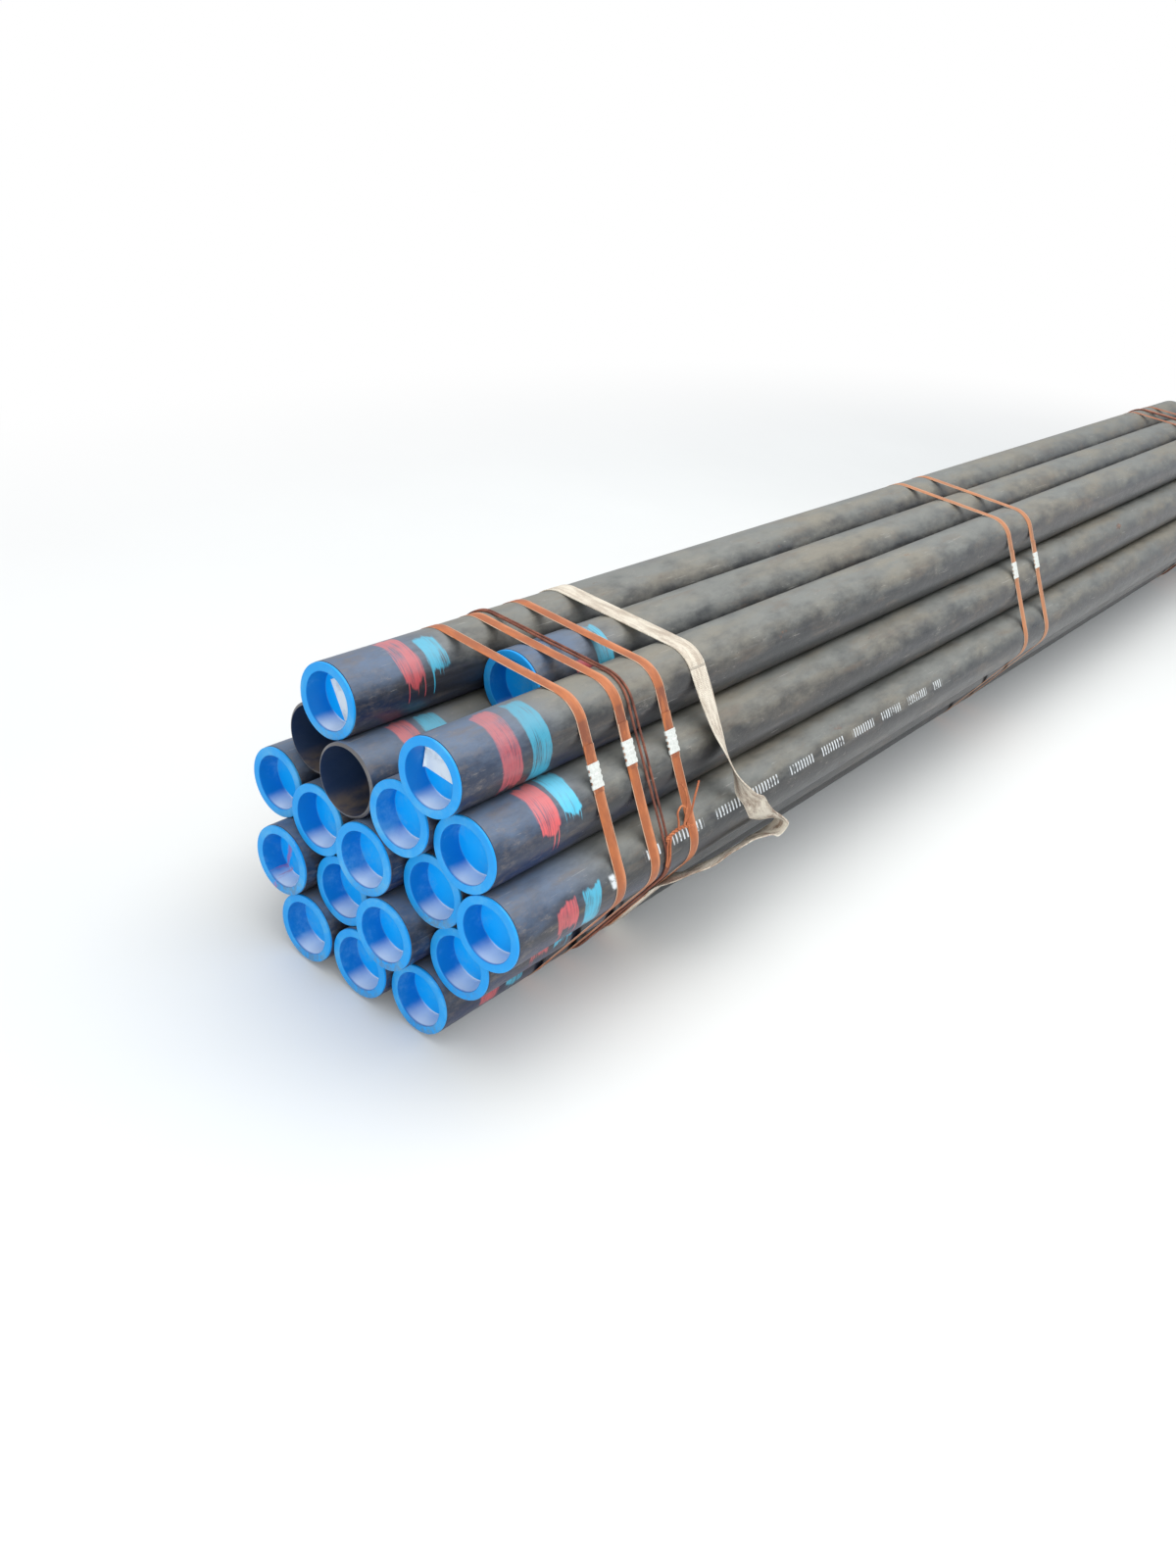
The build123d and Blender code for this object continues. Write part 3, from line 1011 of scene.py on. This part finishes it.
# Its slack, from the lower near side back up: distance from the near end, Y, height,
# roll in degrees, share of the width and share of the thickness
SLING_SLACK = (
    (0.620, -0.352, 0.245, 8, 1.0, 1.0),
    (0.640, -0.395, 0.286, 30, 1.0, 1.0),
    (0.700, -0.420, 0.306, 44, 0.95, 1.0),
    (0.800, -0.430, 0.316, 38, 0.85, 1.0),
    (0.910, -0.433, 0.310, 52, 0.8, 1.1),
    (0.982, -0.433, 0.292, 84, 0.72, 1.5),
    (1.016, -0.433, 0.297, 98, 0.66, 1.8),
    (0.990, -0.433, 0.318, 118, 0.7, 1.6),
    (0.930, -0.436, 0.348, 140, 0.84, 1.2),
    (0.872, -0.437, 0.388, 150, 1.0, 1.0),
    (0.835, -0.434, 0.426, 140, 1.0, 1.0),
    (0.802, -0.420, 0.456, 104, 0.9, 1.0),
    (0.784, -0.395, 0.495, 58, 0.84, 1.0),
    (0.773, -0.360, 0.545, 36, 0.95, 1.0),
    (0.767, -0.320, 0.602, 18, 1.0, 1.0),
    (0.765, -0.281, 0.660, 5, 1.0, 1.0),
)
# The part of the sling's run that is laid: from the near side's top pipe to halfway along the last flat
LAID_FROM = 30
LAID_TO = -7
# Roll from which the slack is all loose, and how deep it is then cupped and creased
LOOSE_ROLL = radians(40)
CUP_DEPTH = 4.0 * mm
CREASE_DEPTH = 1.2 * mm


def along_table(table, share):
    """Value at share of the way through a table of (share, value)."""
    for (low, first), (high, second) in zip(table, table[1:]):
        if share <= high:
            part = (share - low) / (high - low)
            return first + (second - first) * part * part * (3 - 2 * part)
    return table[-1][1]


def sling_marks():
    """Closed run of (place, way out, roll, width, thickness) that the sling's inner face follows."""
    laid = wrap_outline(PIPE_RADIUS + SLING_CLEARANCE, *SLING_STEPS)[LAID_FROM:LAID_TO]
    marks = []
    for index, (place, out) in enumerate(laid):
        s = along_table(SLING_DRIFT, index / (len(laid) - 1))
        marks.append((place + Vector((NEAR_PLANE + s, 0, 0)), out, 0.0, 1.0, 1.0))
    for s, y, z, roll, width, thickness in SLING_SLACK:
        out = Vector((0, y, z - AXIS.z)).normalized()
        marks.append((Vector((NEAR_PLANE + s, y, z)), out, radians(roll), width, thickness))
    return marks


def make_sling(material):
    """Webbing laid round the bundle, its slack twisted into a fold on the near side."""
    marks = sling_marks()
    count = len(marks)
    slack_from = count - len(SLING_SLACK) - 1
    fine = []
    for index in range(count):
        four = [marks[(index + step) % count] for step in (-1, 0, 1, 2)]
        steps = 9 if index >= slack_from else 2
        for step in range(steps):
            fine.append([spline(*(mark[part] for mark in four), step / steps) for part in range(5)])
    places = [mark[0] for mark in fine]
    lengths, total = run_lengths(places)
    size = len(fine)
    points, lay = [], []
    section = band_section(SLING_WIDTH, SLING_THICKNESS, SLING_EDGE)
    for index, (place, out, roll, width, thickness) in enumerate(fine):
        heading = (places[(index + 1) % size] - places[index - 1]).normalized()
        out = (out - heading * out.dot(heading)).normalized()
        across = out.cross(heading)
        turned_across = across * cos(roll) + out * sin(roll)
        turned_out = out * cos(roll) - across * sin(roll)
        loose = min(1.0, abs(roll) / LOOSE_ROLL)
        dirt = 0.35 + 0.4 * loose + 0.25 * (out.z < 0)
        for u, v in section:
            # A pinched stretch is cupped and creased
            cup = loose * (u / SLING_WIDTH * 2) ** 2 * CUP_DEPTH
            crease = loose * CREASE_DEPTH * sin(u / SLING_WIDTH * 9 + lengths[index] * 60)
            spot = place + turned_across * u * width + turned_out * (v * thickness + cup + crease)
            points.append(tuple(spot))
            lay.append((lengths[index], u, dirt))
    faces = side_faces(size, len(section), True)
    values = {"lay": lay}
    made = add_piece("sling_band", points, faces, material, ("sling",), values=values, sharp=60)


# Labels: size, then for each pipe its middle across and above the axis, and its turn in degrees
LABEL_SIZE = (92 * mm, 64 * mm)
LABELS = {"row_5_1": (0.018, 0.010, 2), "row_5_3": (-0.004, -0.004, 55)}
# Where a label starts to climb the recess's wall, and how far it lies off the floor
LABEL_REACH = RECESS_RADIUS - 3.4 * mm
LABEL_LIFT = 0.5 * mm


def make_labels(material):
    """Blank labels stuck on the floor of two caps' recesses, their ends up the wall."""
    columns, rows = 24, 14
    for name, (middle_y, middle_z, degrees) in LABELS.items():
        turn = radians(degrees)
        start = PIPE_LINES[name][0]
        floor = start.x - FLANGE_THICKNESS - CAP_CLEARANCE + RECESS_DEPTH
        points, faces = [], []
        for column in range(columns + 1):
            for row in range(rows + 1):
                u = (column / columns - 0.5) * LABEL_SIZE[0]
                v = (row / rows - 0.5) * LABEL_SIZE[1]
                y = middle_y + u * cos(turn) - v * sin(turn)
                z = middle_z + u * sin(turn) + v * cos(turn)
                distance = sqrt(y * y + z * z)
                climb = max(0.0, distance - LABEL_REACH)
                if climb:
                    y, z = y * LABEL_REACH / distance, z * LABEL_REACH / distance
                bubble = LABEL_LIFT * (1 + sin(column * 0.9) * sin(row * 1.1))
                points.append((floor - LABEL_LIFT - bubble - climb, start.y + y, start.z + z))
        for column in range(columns):
            for row in range(rows):
                corner = column * (rows + 1) + row
                faces.append((corner, corner + 1, corner + rows + 2, corner + rows + 1))
        add_piece(f"label_{name}", points, faces, material, sharp=80)


def make_floor(material):
    bpy.ops.mesh.primitive_plane_add(size=200, location=(0, 0, 0))
    floor = bpy.context.object
    floor.name = "floor"
    floor.data.materials.append(material)


def add_area(name, place, aim, size, power, colour):
    lamp = bpy.data.lights.new(name, "AREA")
    lamp.shape = "RECTANGLE"
    lamp.size, lamp.size_y = size
    lamp.energy = power
    lamp.color = colour
    made = add_object(name, lamp)
    made.location = place
    made.rotation_euler = (Vector(aim) - Vector(place)).to_track_quat("-Z", "Y").to_euler()


def light_scene():
    """Overcast sky: an even pale world, a broad soft lamp overhead and a weaker one from the near side."""
    world = bpy.data.worlds.new("sky")
    bpy.context.scene.world = world
    world.use_nodes = True
    tree = world.node_tree
    sky = tree.nodes["Background"]
    sky.inputs["Color"].default_value = (0.90, 0.95, 1.0, 1.0)
    sky.inputs["Strength"].default_value = 0.8
    seen = tree.nodes.new("ShaderNodeBackground")
    seen.inputs["Color"].default_value = (1.0, 1.0, 1.0, 1.0)
    path = tree.nodes.new("ShaderNodeLightPath")
    choice = tree.nodes.new("ShaderNodeMixShader")
    tree.links.new(path.outputs["Is Camera Ray"], choice.inputs[0])
    tree.links.new(sky.outputs[0], choice.inputs[1])
    tree.links.new(seen.outputs[0], choice.inputs[2])
    tree.links.new(choice.outputs[0], tree.nodes["World Output"].inputs["Surface"])
    x = NEAR_PLANE
    add_area("overhead", (x + 2.43, -0.8, 5.0), (x + 2.93, 0, 0.3), (7.0, 4.5), 230, (1.0, 0.99, 0.97))
    add_area("near_side", (x - 4.07, -3.6, 2.4), (x + 0.33, 0, 0.4), (4.0, 3.0), 130, (0.95, 0.98, 1.0))


# Camera: place, its right and up directions, and its lens in millimetres
CAMERA_PLACE = (NEAR_PLANE - 1.518, -1.543, AXIS.z + 1.542)
CAMERA_RIGHT = (0.6300, -0.7597, 0.1614)
CAMERA_UP = (0.3110, 0.4371, 0.8439)
CAMERA_LENS = 28.52


def add_camera():
    camera = bpy.data.cameras.new("camera")
    camera.lens = CAMERA_LENS
    camera.sensor_width = 36.0
    camera.sensor_fit = "AUTO"
    made = add_object("camera", camera)
    right = Vector(CAMERA_RIGHT).normalized()
    up = Vector(CAMERA_UP)
    up = (up - right * up.dot(right)).normalized()
    back = right.cross(up)
    made.matrix_world = Matrix.Translation(CAMERA_PLACE) @ Matrix((right, up, back)).transposed().to_4x4()
    bpy.context.scene.camera = made


make_pipes(varnished_pipe())
make_caps(cap_plastic())
strap_finish = strap_paint()
seal_finish = seal_zinc()
STRAP_PLACES = ("near_1", "near_2", "near_3", "middle_1", "middle_2", "far_1", "far_2", "far_3")
for number, place in enumerate(STRAP_PLACES):
    make_strap(place, strap_finish, number + 3)
    make_seal(place, seal_finish)
wire_finish = rusty_wire()
make_tie_wire("near", wire_finish, 1, 5)
make_tie_wire("far", wire_finish, -1, 6)
make_sling(woven_webbing())
make_labels(blank_paper())
make_floor(pale_floor())
light_scene()
add_camera()

view = bpy.context.scene.view_settings
view.view_transform = "Standard"
